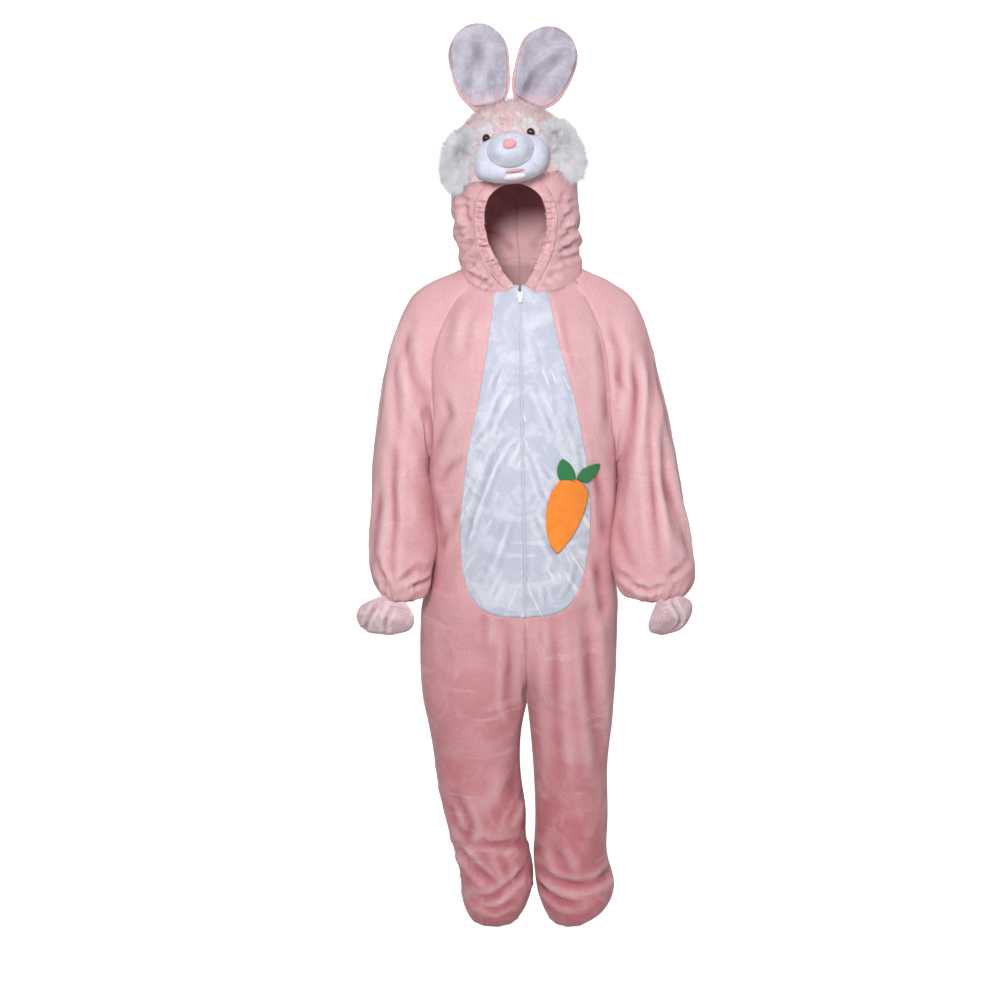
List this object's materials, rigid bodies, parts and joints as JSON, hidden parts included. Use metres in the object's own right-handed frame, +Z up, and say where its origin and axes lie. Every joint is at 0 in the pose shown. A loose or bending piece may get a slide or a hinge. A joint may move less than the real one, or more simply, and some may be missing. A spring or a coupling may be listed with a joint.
{
  "type": "bunny costume",
  "caption": "One-piece plush bunny costume with raglan sleeves, zipped white belly panel, paw flaps, and a hood that carries a stuffed rabbit head with ears.",
  "frame": {"origin": "middle of the neck opening at the height of the wearer's shoulders, where the suit hangs", "axes": "+Z up, the front and the zip face -Y, the wearer's left side is +X"},
  "size_m": [0.6415, 0.3336, 1.7504],
  "materials": {
    "plush_pink": "short plush pile",
    "plush_white": "short plush pile, crushed",
    "casing_pink": "gathered over elastic",
    "pile_mottled": "mottled curly pile",
    "fur_long_white": "long fur",
    "plush_mauve": "short plush pile, stuffed",
    "felt_orange": "flat felt",
    "felt_green": "flat felt",
    "velour_pink": "velour",
    "eye_plastic": "polished",
    "zip_plastic": "enamelled white",
    "zip_chain": "coil zip on woven tape"
  },
  "bodies": {
    "garment": {"front_left": "plush_pink", "front_right": "plush_pink", "back_left": "plush_pink", "back_right": "plush_pink", "sleeve_left": "plush_pink", "sleeve_right": "plush_pink", "hood_left": "plush_pink", "hood_right": "plush_pink", "ear_left_back": "plush_pink", "ear_right_back": "plush_pink", "belly_left": "plush_white", "belly_right": "plush_white", "ear_left_inner": "plush_white", "ear_right_inner": "plush_white", "muzzle": "plush_white", "jaw": "plush_white", "chin": "plush_white", "eye_patch_left": "plush_white", "eye_patch_right": "plush_white", "face_casing": "casing_pink", "crown": "pile_mottled", "cheek_left": "fur_long_white", "cheek_right": "fur_long_white", "paw_left": "plush_mauve", "paw_right": "plush_mauve", "carrot": "felt_orange", "carrot_leaf_left": "felt_green", "carrot_leaf_right": "felt_green", "nose": "velour_pink", "mouth": "velour_pink", "eye_left": "eye_plastic", "eye_right": "eye_plastic", "zip_slider": "zip_plastic", "zip_tape": "zip_chain"},
    "zip_pull": {"zip_pull": "zip_plastic"}
  },
  "joints": [
    {"name": "pull_hinge", "type": "hinge", "parent": "garment", "child": "zip_pull", "pos_m": [-0.005, -0.10513, -0.06771], "axis": [-1, 0, 0], "range_deg": [0, 150]}
  ]
}
